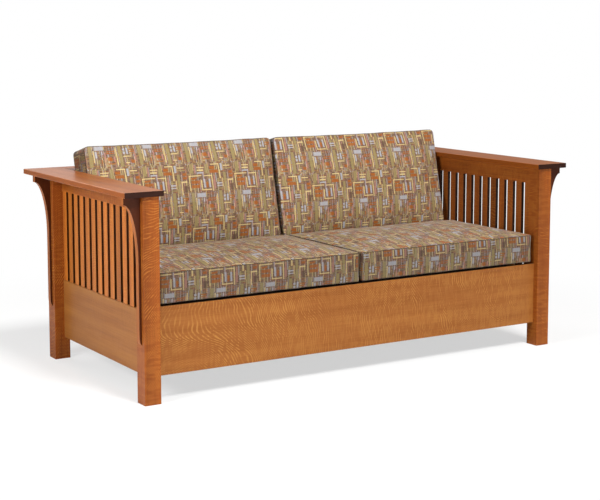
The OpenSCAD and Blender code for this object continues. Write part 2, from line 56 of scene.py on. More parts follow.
def add(tree, kind, settings=None, sockets=None, take=0):
    """Adds a node with its settings, links or fills its sockets, and gives one of its outputs."""
    node = tree.nodes.new("ShaderNode" + kind)
    for key, value in (settings or {}).items():
        setattr(node, key, value)
    for key, value in (sockets or {}).items():
        if isinstance(value, bpy.types.NodeSocket):
            tree.links.new(value, node.inputs[key])
        else:
            node.inputs[key].default_value = value
    return node.outputs[take]


def times(tree, one, other):
    """Multiplies two numbers."""
    return add(tree, "Math", {"operation": "MULTIPLY"}, {0: one, 1: other})


def fresh_material(name):
    """A material with its tree, its surface shader and nothing else."""
    made = bpy.data.materials.new(name)
    made.use_nodes = True
    return made, made.node_tree, made.node_tree.nodes["Principled BSDF"]


camera_data = bpy.data.cameras.new("photo_camera")
camera_data.sensor_width = 36
camera_data.lens = 85.373
camera_data.shift_y = -0.1
camera_data.clip_end = 200
camera = bpy.data.objects.new("photo_camera", camera_data)
camera.location = (-3.028008, -4.901081, 1.341929)
camera.rotation_euler = (math.radians(90 - 6.742), 0, math.radians(-31.693))
scene.collection.objects.link(camera)
scene.camera = camera

floor_size = 30
floor_mesh = bpy.data.meshes.new("studio_floor")
floor_mesh.from_pydata([(-floor_size, -floor_size, 0), (floor_size, -floor_size, 0),
                        (floor_size, floor_size, 0), (-floor_size, floor_size, 0)], [], [(0, 1, 2, 3)])
floor = bpy.data.objects.new("studio_floor", floor_mesh)
scene.collection.objects.link(floor)

floor_paint, tree, paper = fresh_material("white_paper_floor")
paper.inputs["Base Color"].default_value = linear("#F7F7F6")
paper.inputs["Roughness"].default_value = 0.9
paper.inputs["Specular IOR Level"].default_value = 0.1
here = add(tree, "TexCoord", take=3)
flat_distance = add(tree, "VectorMath", {"operation": "LENGTH"}, {0: here}, take=1)
far_out = add(tree, "MapRange", {"interpolation_type": "SMOOTHSTEP"},
              {0: flat_distance, 1: 1.1, 2: 2.4, 3: 0.6, 4: 1.0})
seen = add(tree, "LightPath", take=0)
blend_out = times(tree, far_out, seen)
white = add(tree, "Emission", None, {"Color": (1, 1, 1, 1), "Strength": 1.0})
both = add(tree, "MixShader", None, {0: blend_out, 1: paper.outputs[0], 2: white})
tree.links.new(both, tree.nodes["Material Output"].inputs["Surface"])
floor_mesh.materials.append(floor_paint)

sky = bpy.data.worlds.new("white_room")
sky.use_nodes = True
tree = sky.node_tree
seen = add(tree, "LightPath", take=0)
mirrored = add(tree, "LightPath", take=3)
around = add(tree, "MapRange", None, {0: mirrored, 3: 0.11, 4: 0.32})
strength = add(tree, "MapRange", None, {0: seen, 3: around, 4: 1.0})
tree.links.new(strength, tree.nodes["Background"].inputs["Strength"])
tree.nodes["Background"].inputs["Color"].default_value = (1, 1, 1, 1)
scene.world = sky

for lamp_name, place, watts, size in [("window_light", (0.2, -6.0, 9.0), 1120, 2.4),
                                      ("front_light", (1.0, -10.8, 2.6), 230, 3.0),
                                      ("left_light", (-3.0, -0.9, 1.5), 56, 0.8),
                                      ("back_light", (1.8, 6.0, 1.9), 13, 2.4),
                                      ("rear_fill", (-1.6, 7.0, 5.0), 130, 2.4)]:
    lamp_data = bpy.data.lights.new(lamp_name, "AREA")
    lamp_data.energy = watts
    lamp_data.size = size
    lamp = bpy.data.objects.new(lamp_name, lamp_data)
    lamp.location = place
    lamp.rotation_euler = (Vector((0, 0, 0.45)) - Vector(place)).to_track_quat("-Z", "Y").to_euler()
    scene.collection.objects.link(lamp)


# Posts: four square legs of quarter-sawn white oak, grain upright, stained a warm brown and
# lacquered to a satin. Cut across the rings, the wood shows pale wavy flecks, its rays.
TURN_TO_X = {"X": (0, 0, 0), "Y": (0, 0, -math.pi / 2), "Z": (0, math.pi / 2, 0)}
RAY_FLOW = 34.0


def blend(tree, share, one, other):
    """Mixes two colours, share being how much there is of the other."""
    return add(tree, "Mix", {"data_type": "RGBA"}, {0: share, 6: one, 7: other}, take=2)


def split_up(tree, vector):
    """The three numbers of a vector."""
    node = tree.nodes.new("ShaderNodeSeparateXYZ")
    tree.links.new(vector, node.inputs[0])
    return node.outputs


def oak(name, grain, wood, dark, ray, ray_show=0.35, gloss=0.4, coat=0.0, boards=None, tone=0.12,
        ends="#5A2C12", sides=None, swing=0.2):
    """Stained, lacquered oak in millimetre grain: grain is the axis that the fibres run along.
    boards is (axis, first edge, pitch) in metres where one node holds many boards, each cut apart,
    and tone is how far their brightness differs. ray_show is how strongly the rays show, and
    swing is how far they wander in metres. sides is (axis, colour) for faces that look along that
    axis, which take that colour instead; on slat edges, corbel fronts and the front panel's top and
    bottom it is painted shade. ends is the colour of the sawn ends."""
    made, tree, surface = fresh_material(name)
    where = add(tree, "TexCoord", take=3)
    along = add(tree, "Mapping", {"vector_type": "POINT"}, {"Vector": where, "Rotation": TURN_TO_X[grain]})
    shade = None
    if boards:
        axis, first, pitch = boards
        number = add(tree, "Math", {"operation": "SUBTRACT"}, {0: split_up(tree, where)[axis], 1: first})
        number = add(tree, "Math", {"operation": "DIVIDE"}, {0: number, 1: pitch})
        number = add(tree, "Math", {"operation": "FLOOR"}, {0: number})
        dice = tree.nodes.new("ShaderNodeTexWhiteNoise")
        dice.noise_dimensions = "1D"
        tree.links.new(number, dice.inputs["W"])
        moved = add(tree, "VectorMath", {"operation": "SCALE"}, {0: dice.outputs["Color"], "Scale": 9.0})
        along = add(tree, "VectorMath", {"operation": "ADD"}, {0: along, 1: moved})
        shade = dice.outputs["Value"]
    # Growth tone: bands some 40 mm wide that run the length of a board
    stretched = add(tree, "Mapping", None, {"Vector": along, "Scale": (1.1, 24, 24)})
    growth = add(tree, "TexNoise", None,
                 {"Vector": stretched, "Scale": 1.0, "Detail": 3.0, "Roughness": 0.55})
    growth = add(tree, "MapRange", None, {0: growth, 1: 0.3, 2: 0.72})
    # Fibres: streaks about 2 mm wide and 150 mm long
    fine = add(tree, "Mapping", None, {"Vector": along, "Scale": (7, 450, 450)})
    fibres = add(tree, "TexNoise", None, {"Vector": fine, "Scale": 1.0, "Detail": 2.0, "Roughness": 0.6})
    fibres = add(tree, "MapRange", None, {0: fibres, 1: 0.34, 2: 0.7})
    # Pores: dark dashes a millimetre wide and up to 30 mm long
    pitted = add(tree, "Mapping", None, {"Vector": along, "Scale": (38, 900, 900)})
    pores = add(tree, "TexNoise", None, {"Vector": pitted, "Scale": 1.0, "Detail": 1.0})
    pores = add(tree, "MapRange", None, {0: pores, 1: 0.62, 2: 0.7})
    # Rays: fine wavy lines across the grain, 9 mm apart, that flow round one another like
    # contours, broken up by noise and nearly gone in some patches of the board
    swung = add(tree, "Mapping", None, {"Vector": along, "Scale": (0.8, 3.4, 3.4)})
    swung = add(tree, "TexNoise", None, {"Vector": swung, "Scale": 1.0, "Detail": 0.0})
    swung = times(tree, swung, swing)
    swung = add(tree, "CombineXYZ", None, {"X": swung})
    swung = add(tree, "VectorMath", {"operation": "ADD"}, {0: along, 1: swung})
    lines = add(tree, "TexWave", {"wave_type": "BANDS", "bands_direction": "X"},
                {"Vector": swung, "Scale": 35.0, "Distortion": RAY_FLOW, "Detail": 2.0, "Detail Scale": 0.2,
                 "Detail Roughness": 0.45}, take=1)
    lines = add(tree, "MapRange", {"interpolation_type": "SMOOTHSTEP"}, {0: lines, 1: 0.5, 2: 0.98})
    crossed = add(tree, "Mapping", None, {"Vector": along, "Scale": (110, 22, 22)})
    crossed = add(tree, "TexNoise", None, {"Vector": crossed, "Scale": 1.0, "Detail": 1.5, "Roughness": 0.4})
    crossed = add(tree, "MapRange", {"interpolation_type": "SMOOTHSTEP"},
                  {0: crossed, 1: 0.36, 2: 0.6, 3: 0.12})
    patch = add(tree, "Mapping", None, {"Vector": along, "Scale": (4, 11, 11)})
    patch = add(tree, "TexNoise", None, {"Vector": patch, "Scale": 1.0, "Detail": 2.0})
    patch = add(tree, "MapRange", None, {0: patch, 1: 0.32, 2: 0.62, 3: 0.3})
    rays = times(tree, lines, crossed)
    rays = times(tree, rays, patch)
    rays = times(tree, rays, ray_show)
    deep = times(tree, growth, 0.6)
    deep = add(tree, "Math", {"operation": "MULTIPLY_ADD"}, {0: fibres, 1: 0.34, 2: deep})
    colour = blend(tree, deep, linear(wood), linear(dark))
    colour = blend(tree, rays, colour, linear(ray))
    facing = add(tree, "TexCoord", take=1)
    # Faces along one axis take the sides colour: painted shade on slat edges, corbel fronts and the front
    # panel's top and bottom, and a darker tone on the arm boards' long edges.
    if sides:
        which, side_colour = sides
        side = add(tree, "Math", {"operation": "ABSOLUTE"}, {0: split_up(tree, facing)[which]})
        side = add(tree, "MapRange", None, {0: side, 1: 0.8, 2: 0.95, 4: 0.96})
        colour = blend(tree, side, colour, linear(side_colour))
    holes = times(tree, pores, 0.4)
    colour = blend(tree, holes, colour, linear(dark))
    if shade:
        level = add(tree, "MapRange", None, {0: shade, 3: 1 - tone, 4: 1 + tone})
        colour = add(tree, "VectorMath", {"operation": "SCALE"}, {0: colour, "Scale": level})
    # End grain drinks more stain, so the sawn ends are darker
    turned = add(tree, "Mapping", {"vector_type": "VECTOR"}, {"Vector": facing, "Rotation": TURN_TO_X[grain]})
    sawn = add(tree, "SeparateXYZ", None, {0: turned})
    sawn = add(tree, "Math", {"operation": "ABSOLUTE"}, {0: sawn})
    sawn = add(tree, "MapRange", None, {0: sawn, 1: 0.75, 2: 0.97, 4: 0.97})
    colour = blend(tree, sawn, colour, linear(ends))
    tree.links.new(colour, surface.inputs["Base Color"])
    rough = add(tree, "MapRange", None, {0: rays, 3: gloss, 4: gloss - 0.1})
    tree.links.new(rough, surface.inputs["Roughness"])
    relief = add(tree, "Math", {"operation": "ADD"}, {0: fibres, 1: pores})
    bump = add(tree, "Bump", {"invert": True}, {"Strength": 0.12, "Distance": 0.0004, "Height": relief})
    tree.links.new(bump, surface.inputs["Normal"])
    surface.inputs["Specular IOR Level"].default_value = 0.14
    surface.inputs["Coat Weight"].default_value = coat
    surface.inputs["Coat Roughness"].default_value = 0.2
    return made


def dress(material, *names):
    """Puts a material on CAD nodes, in place of the plain colour they come with."""
    for name in names:
        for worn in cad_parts[name].material_slots:
            worn.material = material


dress(oak("post_oak", "Z", "#984F1C", "#622C0A", "#C88436", ray_show=0.6, swing=0.9),
      "post_front_left", "post_front_right", "post_back_left", "post_back_right")

# Corbels: shaped brackets under the overhanging arms, band-sawn from thicker oak and glued to
# the outer face of each post, with the grain upright. Their front and back faces are painted
# near-black: painted shade for the shadow the arm board casts on them.
dress(oak("corbel_oak", "Z", "#A65E26", "#663210", "#B06C2A", ray_show=0.12, ends="#3C1606",
          sides=(1, "#3A1606")),
      "corbel_front_left", "corbel_front_right", "corbel_back_left", "corbel_back_right")

# Arm boards: wide flat-topped planks, grain front to back, rubbed to the glossiest finish on
# the piece because hands rest there. The sawn front end is nearly black-brown.
dress(oak("arm_board_oak", "Y", "#B0662E", "#7A3A14", "#C8823E", gloss=0.36, coat=0.08, ends="#1E0501",
          sides=(0, "#86440F")),
      "arm_board_left", "arm_board_right")

# Back cap: the same plank laid across the back, between the arm boards.
dress(oak("back_cap_oak", "X", "#AC622C", "#7A3A14", "#C47E3E", gloss=0.4, coat=0.08), "back_cap")

# Rails: thick boards under the arms and across the back, that hold the tops of the slats.
dress(oak("arm_rail_oak", "Y", "#AC5E22", "#602C0C", "#C88434", ray_show=0.5, swing=0.8),
      "arm_rail_left", "arm_rail_right")
dress(oak("back_rail_oak", "X", "#9C5420", "#642E0C", "#B8722E"), "back_rail")

# Slats: thin upright strips of oak, each from another part of the tree, so they differ in tone.
# Their edges, set deep in the narrow gaps between slats, are painted near-black: painted shade for the shadow
# in those gaps.
slat_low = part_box("arm_slats_left")[0]
ARM_PITCH, BACK_PITCH = 0.05596, 0.05658
HALF_GAP = 0.01025
SLAT_EDGE_SHADE = "#1E0A03"
# The left arm's slats are given a lighter colour and the right arm's a darker one: painted light on the left
# arm's outer side and painted shade on the right arm's inner side.
for slats, face, dark in (("arm_slats_left", "#C2722C", "#7C3E12"),
                          ("arm_slats_right", "#A05822", "#683210")):
    dress(oak(slats + "_oak", "Z", face, dark, "#C88434",
              boards=(1, slat_low.y - HALF_GAP, ARM_PITCH), tone=0.16, sides=(1, SLAT_EDGE_SHADE)), slats)
slat_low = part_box("back_slats")[0]
dress(oak("back_slat_oak", "Z", "#AE6626", "#743810", "#C07C30",
          boards=(0, slat_low.x - HALF_GAP, BACK_PITCH), tone=0.16, sides=(0, SLAT_EDGE_SHADE)), "back_slats")

# Panels: wide boards below the slats and along the front and back, where the rays show most.
dress(oak("side_panel_oak", "Y", "#A06830", "#7C481E", "#B47C3E", ray_show=0.2),
      "side_panel_left", "side_panel_right")
# The front panel's top and bottom faces are painted near-black: painted shade for the dark gap under the seat
# cushions.
dress(oak("front_panel_oak", "X", "#9A602C", "#784018", "#C89248", ray_show=0.45, swing=0.8,
          sides=(2, "#160A04")), "front_panel")
dress(oak("back_panel_oak", "X", "#9A602C", "#784018", "#C89248", ray_show=0.45, swing=0.8), "back_panel")

# Hidden woodwork: a plain birch ledge that carries the back cushions, its rail and cleats, and
# the glued corner blocks, all left pale under one thin coat of lacquer.
dress(oak("inner_birch", "X", "#C49C6A", "#A07A4C", "#D0AE7C", ray_show=0.1, gloss=0.5, ends="#A07A4C"),
      "back_ledge", "ledge_rail", "ledge_cleats", "glue_blocks")

# Fold-out bed mechanism: tube, flat links, rails and bolts of welded steel, powder-coated a
# dark bronze. The baked powder leaves a fine orange-peel skin with a dull shine.
steel, tree, surface = fresh_material("powder_coated_steel")
where = add(tree, "TexCoord", take=3)
speckle = add(tree, "TexNoise", None, {"Vector": where, "Scale": 900.0, "Detail": 2.0})
worn = add(tree, "TexNoise", None, {"Vector": where, "Scale": 18.0, "Detail": 4.0, "Roughness": 0.6})
colour = blend(tree, worn, linear("#2A2624"), linear("#3A3430"))
tree.links.new(colour, surface.inputs["Base Color"])
rough = add(tree, "MapRange", None, {0: worn, 3: 0.38, 4: 0.52})
tree.links.new(rough, surface.inputs["Roughness"])
peel = add(tree, "Bump", None, {"Strength": 0.2, "Distance": 0.0002, "Height": speckle})
tree.links.new(peel, surface.inputs["Normal"])
dress(steel, "lift_rail_left", "lift_rail_right", "rail_bolts", "lower_link_left", "lower_link_right",
      "torsion_tube", "upper_link_left", "upper_link_right", "head_frame", "lift_brackets", "middle_frame",
      "middle_hinge_arms", "foot_frame", "pull_bar", "front_legs", "middle_legs")

# Leg feet: caps of black moulded rubber pushed over the leg ends.
rubber, tree, surface = fresh_material("moulded_black_rubber")
where = add(tree, "TexCoord", take=3)
bloom = add(tree, "TexNoise", None, {"Vector": where, "Scale": 60.0, "Detail": 3.0})
colour = blend(tree, bloom, linear("#1B1B1C"), linear("#2C2C2D"))
tree.links.new(colour, surface.inputs["Base Color"])
surface.inputs["Roughness"].default_value = 0.75
grit = add(tree, "TexNoise", None, {"Vector": where, "Scale": 1500.0})
grit = add(tree, "Bump", None, {"Strength": 0.2, "Distance": 0.0002, "Height": grit})
tree.links.new(grit, surface.inputs["Normal"])
dress(rubber, "front_leg_feet", "middle_leg_feet")

# Bed decks: a black sheet of woven polypropylene, hemmed all round and stretched over each
# bay of the bed frames, a little slack in the middle where the mattress presses on it.
deck_cloth, tree, surface = fresh_material("woven_polypropylene")
where = add(tree, "TexCoord", take=3)
tape = add(tree, "Mapping", None, {"Vector": where, "Scale": (1 / 0.0025, 1 / 0.0025, 1)})
tape = add(tree, "TexChecker", None, {"Vector": tape, "Scale": 1.0}, take=1)
colour = blend(tree, tape, linear("#18191B"), linear("#2A2B2E"))
tree.links.new(colour, surface.inputs["Base Color"])
surface.inputs["Roughness"].default_value = 0.6
over = add(tree, "Bump", None, {"Strength": 0.4, "Distance": 0.0004, "Height": tape})
tree.links.new(over, surface.inputs["Normal"])
HEM, SLACK, SUNK, SHEET_THICK = 0.03, 0.0012, 0.0004, 0.0012


def deck_sheet(node, up):
    """One sheet for each bay of a deck's CAD node, up towards its mattress being 1 or -1 along Z."""
    low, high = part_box(node)
    edges = sorted({round(v.co.y, 5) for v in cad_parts[node].data.vertices})
    width, length = high.x - low.x, 0.0
    points, faces = [], []
    for y0, y1 in zip(edges[::2], edges[1::2]):
        length += y1 - y0
        xs = np.concatenate([[low.x, low.x + HEM * 0.9], np.linspace(low.x + HEM, high.x - HEM, 49),
                             [high.x - HEM * 0.9, high.x]])
        ys = np.concatenate([[y0, y0 + HEM * 0.9], np.linspace(y0 + HEM, y1 - HEM, 13), [y1 - HEM * 0.9, y1]])
        first = len(points)
        for y in ys:
            for x in xs:
                inner = min(x - low.x, high.x - x, y - y0, y1 - y) > HEM * 0.95
                a, b = 2 * (x - low.x) / width - 1, 2 * (y - y0) / (y1 - y0) - 1
                drop = SUNK + SLACK * (1 - a * a) * (1 - b * b) if inner else 0.0
                points.append((x, y, (low.z + high.z) / 2 - up * drop))
        for j in range(len(ys) - 1):
            for i in range(len(xs) - 1):
                a = first + j * len(xs) + i
                faces.append((a, a + 1, a + 1 + len(xs), a + len(xs)))
    mesh = bpy.data.meshes.new(node + "_sheet")
    mesh.from_pydata(points, [], faces)
    mesh.materials.append(deck_cloth)
    piece = bpy.data.objects.new(node + "_sheet", mesh)
    scene.collection.objects.link(piece)
    thick = piece.modifiers.new("cloth_thickness", "SOLIDIFY")
    thick.thickness = SHEET_THICK
    thick.offset = 0
    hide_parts(node)
    return piece, (width, length)


for panel, up in (("head", 1), ("middle", -1), ("foot", 1)):
    piece, flat = deck_sheet(panel + "_deck", up)
    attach(piece, panel + "_section")

# Fold-out mattress: three thin foam panels quilted in diamonds between two layers of white
# cotton ticking, with a charcoal border strip and a corded edge above and below it.
ticking, tree, surface = fresh_material("cotton_ticking")
where = add(tree, "TexCoord", take=3)
yarn = add(tree, "TexNoise", None, {"Vector": where, "Scale": 500.0, "Detail": 2.0})
colour = blend(tree, yarn, linear("#D2CCBF"), linear("#EAE5DA"))
stitch = add(tree, "Attribute", {"attribute_name": "stitch_line"}, take=2)
stitch = add(tree, "MapRange", None, {0: stitch, 1: 0.55, 2: 1.0, 4: 0.6})
colour = blend(tree, stitch, colour, linear("#8F887A"))
tree.links.new(colour, surface.inputs["Base Color"])
surface.inputs["Roughness"].default_value = 0.9
surface.inputs["Sheen Weight"].default_value = 0.1
slub = add(tree, "Bump", None, {"Strength": 0.2, "Distance": 0.0004, "Height": yarn})
tree.links.new(slub, surface.inputs["Normal"])

strip_cloth, tree, surface = fresh_material("charcoal_border_cloth")
where = add(tree, "TexCoord", take=3)
twill = add(tree, "TexWave", {"wave_type": "BANDS", "bands_direction": "DIAGONAL"},
            {"Vector": where, "Scale": 260.0}, take=1)
colour = blend(tree, twill, linear("#131212"), linear("#211F1E"))
tree.links.new(colour, surface.inputs["Base Color"])
surface.inputs["Roughness"].default_value = 0.95
surface.inputs["Specular IOR Level"].default_value = 0.2
slub = add(tree, "Bump", None, {"Strength": 0.3, "Distance": 0.0003, "Height": twill})
tree.links.new(slub, surface.inputs["Normal"])

QUILT, QUILT_DEPTH, PANEL_CORNER, CORD = 0.127, 0.005, 0.03, 0.004
GROOVE, GROOVE_MIDDLE, EDGE_TUCK = 0.004, 0.0015, 0.002


def grid_rim(nx, ny):
    """The places round the edge of a grid of points, in order."""
    return ([(i, 0) for i in range(nx - 1)] + [(nx - 1, j) for j in range(ny - 1)]
            + [(i, ny - 1) for i in range(nx - 1, 0, -1)] + [(0, j) for j in range(ny - 1, 0, -1)])


def quilted_panel(node):
    """A mattress panel in the box of its CAD node: rounded corners, quilted faces, corded edges."""
    low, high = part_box(node)
    middle, half = (low + high) / 2, (high - low) / 2
    inner_x, inner_y = half.x - PANEL_CORNER, half.y - PANEL_CORNER
    counts = (round(2 * inner_x / QUILT * 7), round(2 * inner_y / QUILT * 7))
    edge = [PANEL_CORNER, PANEL_CORNER * 0.8, PANEL_CORNER * 0.5, PANEL_CORNER * 0.2]
    lines = [np.array([-inner - e for e in edge] + list(np.linspace(-inner, inner, count + 1))
                      + [inner + e for e in edge[::-1]])
             for inner, count in ((inner_x, counts[0]), (inner_y, counts[1]))]
    xs, ys = lines
    nx, ny = len(xs), len(ys)
    points, faces, stitched, strip = [], [], [], []
    index = {}
    for level in (-1, 1):
        for j in range(ny):
            for i in range(nx):
                x, y = xs[i], ys[j]
                a, b = (abs(x) - inner_x) / PANEL_CORNER, (abs(y) - inner_y) / PANEL_CORNER
                px, py = x, y
                if a > 0 and b > 0:
                    px = math.copysign(inner_x + PANEL_CORNER * a * math.sqrt(1 - b * b / 2), x)
                    py = math.copysign(inner_y + PANEL_CORNER * b * math.sqrt(1 - a * a / 2), y)
                p, q = math.pi * (x + y) / QUILT, math.pi * (x - y) / QUILT
                puff = math.sqrt(abs(math.sin(p) * math.sin(q)))
                inset = min(1.0, min(half.x - abs(x), half.y - abs(y)) / PANEL_CORNER)
                sink = QUILT_DEPTH * (1 - puff) * inset
                index[level, i, j] = len(points)
                points.append((px, py, level * (half.z - sink)))
                stitched.append(max(0.0, 1 - puff * 3) * inset)
    for j in range(ny - 1):
        for i in range(nx - 1):
            faces.append([index[-1, i, j], index[-1, i, j + 1], index[-1, i + 1, j + 1], index[-1, i + 1, j]])
            faces.append([index[1, i, j], index[1, i + 1, j], index[1, i + 1, j + 1], index[1, i, j + 1]])
            strip += [0, 0]
    loop = grid_rim(nx, ny)
    # Rows round the border: a cord bulges at each edge, with a groove on its inner side
    rows = [[index[-1, i, j] for i, j in loop]]
    for height, inward in ((CORD, 0.0), (2 * CORD, GROOVE), (half.z, GROOVE_MIDDLE),
                           (2 * half.z - 2 * CORD, GROOVE), (2 * half.z - CORD, 0.0)):
        rows.append(list(range(len(points), len(points) + len(loop))))
        for v in rows[0]:
            x, y = points[v][:2]
            shrink_x, shrink_y = 1 - inward / half.x, 1 - inward / half.y
            points.append((x * shrink_x, y * shrink_y, height - half.z))
            stitched.append(0.0)
    rows.append([index[1, i, j] for i, j in loop])
    for v in rows[0] + rows[-1]:
        x, y, z = points[v]
        points[v] = (x * (1 - EDGE_TUCK / half.x), y * (1 - EDGE_TUCK / half.y), z)
    for r in range(len(rows) - 1):
        for k in range(len(loop)):
            n = (k + 1) % len(loop)
            faces.append([rows[r][k], rows[r][n], rows[r + 1][n], rows[r + 1][k]])
            strip.append(1)
    mesh = bpy.data.meshes.new(node + "_quilt")
    mesh.from_pydata([Vector(p) + middle for p in points], [], faces)
    mesh.materials.append(ticking)
    mesh.materials.append(strip_cloth)
    mesh.polygons.foreach_set("material_index", strip)
    mesh.polygons.foreach_set("use_smooth", [True] * len(faces))
    line = mesh.attributes.new("stitch_line", "FLOAT", "POINT")
    line.data.foreach_set("value", stitched)
    piece = bpy.data.objects.new(node + "_quilt", mesh)
    scene.collection.objects.link(piece)
    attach(piece, node.replace("mattress", "section"))
    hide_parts(node)


for panel in ("head", "middle", "foot"):
    quilted_panel(panel + "_mattress")

# Seat cushions: foam blocks with a soft wrap, in a boxed cover of jacquard cloth: a top, a
# bottom and a border strip, sewn together with plain seams. The cover is a little full.
CLOTH_MAP = "cloth_map"
SEAM_SINK = 0.0015


def line_points(half, corner, step, lip):
    """Places of the grid lines across half a cushion and its mirror: close at the seam, even inside."""
    inner = half - corner
    count = max(2, round(2 * inner / step))
    edge = [half, half - lip, half - corner * 0.4, half - corner * 0.7]
    return np.array([-x for x in edge] + list(np.linspace(-inner, inner, count + 1)) + edge[::-1])


def boxed_cushion(name, width, depth, border, crown, corner, pull, swell, step=0.015, lip=0.004, frames=20):
    """A sewn box cushion at the origin: its bottom is flat at z = 0 and its seams lie at z = 0 and border.
    Cloth under pressure shapes the panels, then their swelling is set to swell at the sides and to
    crown on top."""
    hw, hd = width / 2, depth / 2
    xs, ys = line_points(hw, corner, step, lip), line_points(hd, corner, step, lip)

    def settle(x, y):
        """Rounds the corners of a plan point and draws the sides in between them."""
        a, b = (abs(x) - hw + corner) / corner, (abs(y) - hd + corner) / corner
        px, py = x, y
        if a > 0 and b > 0:
            px = math.copysign(hw - corner + corner * a * math.sqrt(1 - b * b / 2), x)
            py = math.copysign(hd - corner + corner * b * math.sqrt(1 - a * a / 2), y)
        wx, wy = px / hw, py / hd
        return px - pull * wx * abs(wx) * (1 - wy * wy), py - pull * wy * abs(wy) * (1 - wx * wx)

    nx, ny = len(xs), len(ys)
    points, faces, face_uvs = [], [], []
    index = {}
    for level, z in ((0, 0.0), (1, border)):
        for j in range(ny):
            for i in range(nx):
                px, py = settle(xs[i], ys[j])
                index[level, i, j] = len(points)
                points.append((px, py, z))
    for j in range(ny - 1):
        for i in range(nx - 1):
            low = [(0, i, j), (0, i, j + 1), (0, i + 1, j + 1), (0, i + 1, j)]
            high = [(1, i, j), (1, i + 1, j), (1, i + 1, j + 1), (1, i, j + 1)]
            for quad in (low, high):
                faces.append([index[q] for q in quad])
                face_uvs.append([(xs[q[1]], ys[q[2]]) for q in quad])
    loop = grid_rim(nx, ny)
    rim = [np.array(points[index[0, i, j]]) for i, j in loop]
    around = [0.0]
    for k in range(len(loop)):
        around.append(around[-1] + float(np.linalg.norm(rim[(k + 1) % len(loop)] - rim[k])))
    heights = [0, lip, border * 0.2, border * 0.4, border * 0.6, border * 0.8, border - lip, border]
    rows = [[index[0, i, j] for i, j in loop]]
    for z in heights[1:-1]:
        rows.append(list(range(len(points), len(points) + len(loop))))
        points += [(p[0], p[1], z) for p in rim]
    rows.append([index[1, i, j] for i, j in loop])
    for r in range(len(rows) - 1):
        for k in range(len(loop)):
            n = (k + 1) % len(loop)
            faces.append([rows[r][k], rows[r][n], rows[r + 1][n], rows[r + 1][k]])
            u0, u1 = around[k] - hw, around[k + 1] - hw
            face_uvs.append([(u0, heights[r]), (u1, heights[r]), (u1, heights[r + 1]), (u0, heights[r + 1])])
    mesh = bpy.data.meshes.new(name)
    mesh.from_pydata(points, [], faces)
    # Border faces are marked so that the cloth can paint shade on them
    band = mesh.attributes.new("border_shade_mask", "FLOAT", "FACE")
    band.data.foreach_set("value", [0.0] * (2 * (nx - 1) * (ny - 1)) + [1.0] * ((len(rows) - 1) * len(loop)))
    piece = bpy.data.objects.new(name, mesh)
    scene.collection.objects.link(piece)
    rest = np.array(points)
    seam = np.zeros(len(points))
    seam[rows[0]] = 1
    seam[rows[-1]] = 1
    floor_points = [index[0, i, j] for i in range(nx) for j in range(ny)]
    # Pressed shape: cloth under pressure with its seams held
    held = piece.vertex_groups.new(name="held")
    held.add([int(v) for v in set(floor_points) | set(rows[-1])], 1.0, "REPLACE")
    cloth = piece.modifiers.new("filling", "CLOTH")
    cloth.settings.quality = 6
    cloth.settings.mass = 0.3
    cloth.settings.tension_stiffness = 12
    cloth.settings.compression_stiffness = 6
    cloth.settings.shear_stiffness = 4
    cloth.settings.bending_stiffness = 0.6
    cloth.settings.effector_weights.gravity = 0
    cloth.settings.use_pressure = True
    cloth.settings.uniform_pressure_force = 4
    cloth.settings.vertex_group_mass = "held"
    cloth.collision_settings.use_collision = False
    cloth.collision_settings.use_self_collision = False
    cloth.point_cache.frame_end = frames
    for step_frame in range(1, frames + 1):
        scene.frame_set(step_frame)
    shaped = piece.evaluated_get(bpy.context.evaluated_depsgraph_get()).data
    moved = np.array([v.co for v in shaped.vertices]) - rest
    piece.modifiers.remove(cloth)
    piece.vertex_groups.remove(held)
    scene.frame_set(1)
    top_rise = moved[[index[1, i, j] for i in range(nx) for j in range(ny)], 2].max()
    side_rise = np.linalg.norm(moved[[v for row in rows[1:-1] for v in row], :2], axis=1).max()
    moved[:, 2] *= crown / top_rise
    moved[:, :2] *= swell / side_rise
    return piece, rest, moved, seam, face_uvs


def finish_cushion(piece, points, seam, face_uvs, material, shift=(0.0, 0.0), puckers=0.0012):
    """Sets the final points, draws the seams in, adds small puckers, and smooths the cloth once.
    shift is how far the cloth was moved along before this cover was cut from it."""
    mesh = piece.data
    mesh.vertices.foreach_set("co", points.astype(np.float32).ravel())
    mesh.update()
    normals = np.array([v.normal for v in mesh.vertices])
    wave = np.array([noise.noise(Vector(p) * 24) + 0.6 * noise.noise(Vector(p) * 9 + Vector((7, 3, 1)))
                     for p in points])
    points = points + normals * (wave * puckers)[:, None] - normals * (seam * SEAM_SINK)[:, None]
    mesh.vertices.foreach_set("co", points.astype(np.float32).ravel())
    layer = mesh.uv_layers.new(name=CLOTH_MAP)
    moved_uvs = np.array([uv for quad in face_uvs for uv in quad]) + shift
    layer.data.foreach_set("uv", moved_uvs.astype(np.float32).ravel())
    shade = mesh.attributes.new("seam_line", "FLOAT", "POINT")
    shade.data.foreach_set("value", seam.astype(np.float32))
    mesh.polygons.foreach_set("use_smooth", [True] * len(mesh.polygons))
    mesh.materials.append(material)
    mesh.update()
    smooth = piece.modifiers.new("cloth_curve", "SUBSURF")
    smooth.levels = smooth.render_levels = 1
    shaped = bpy.data.meshes.new_from_object(piece.evaluated_get(bpy.context.evaluated_depsgraph_get()))
    piece.modifiers.remove(smooth)
    piece.data = shaped


# Colours of the yarns: a taupe ground, with rust, pale blue-grey, dusty pink, cream and olive
TAUPE, UMBER, OLIVE, CREAM = "#7D6250", "#5C4435", "#918050", "#D2B97F"
RUST, BLUE, PINK = "#9C5410", "#A6A7AC", "#A8776A"
REPEAT_W, REPEAT_H = 208.0, 205.4
